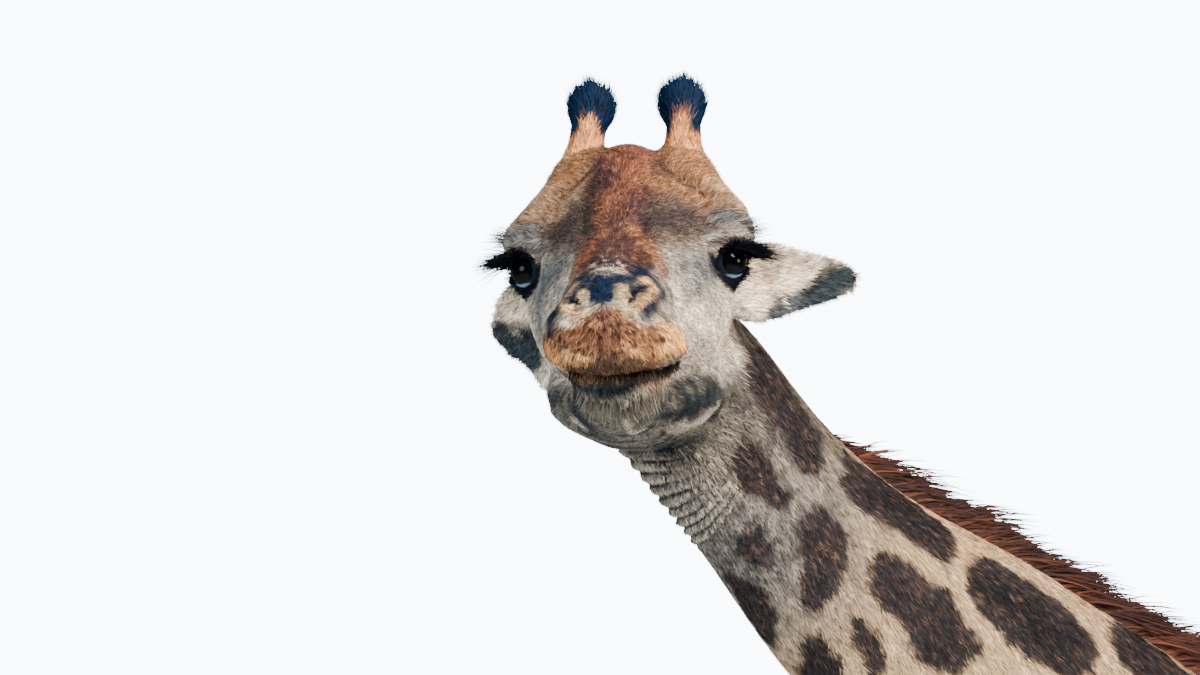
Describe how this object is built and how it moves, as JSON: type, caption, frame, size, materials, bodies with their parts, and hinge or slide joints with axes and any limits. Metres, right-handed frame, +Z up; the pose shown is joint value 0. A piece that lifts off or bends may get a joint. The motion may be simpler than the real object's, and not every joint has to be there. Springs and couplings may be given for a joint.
{
  "type": "giraffe",
  "caption": "Life-size still model of an adult female giraffe, standing with the neck leaning forward and the head turned to its left",
  "frame": {"origin": "on the floor, under the middle of the box round the whole animal", "axes": "+Z up; the body faces -Y and its left side is +X; the head is turned 51 degrees to its left"},
  "size_m": [0.8017, 3.1357, 3.9752],
  "materials": {
    "body_coat": "short matt hair, brown patches on a beige ground",
    "face_coat": "very short matt hair, rust brown to greyish cream",
    "mane_hair": "stiff auburn hair with a slight sheen",
    "dark_hair": "coarse black hair with a slight sheen",
    "horn": "short tan hair over bone, black tufts round the top",
    "hoof": "dull dark horn, faintly ridged",
    "eye": "wet and glossy"
  },
  "bodies": {
    "root": {"ear_left": "face_coat", "ear_right": "face_coat", "eye_left": "eye", "eye_right": "eye", "forehoof_left_inner": "hoof", "forehoof_left_outer": "hoof", "forehoof_right_inner": "hoof", "forehoof_right_outer": "hoof", "foreleg_left": "body_coat", "foreleg_right": "body_coat", "head": "face_coat", "hindhoof_left_inner": "hoof", "hindhoof_left_outer": "hoof", "hindhoof_right_inner": "hoof", "hindhoof_right_outer": "hoof", "hindleg_left": "body_coat", "hindleg_right": "body_coat", "horn_left": "horn", "horn_right": "horn", "lower_jaw": "face_coat", "mane": "mane_hair", "neck": "body_coat", "tail": "body_coat", "tail_tuft": "dark_hair", "trunk": "body_coat"}
  },
  "joints": []
}
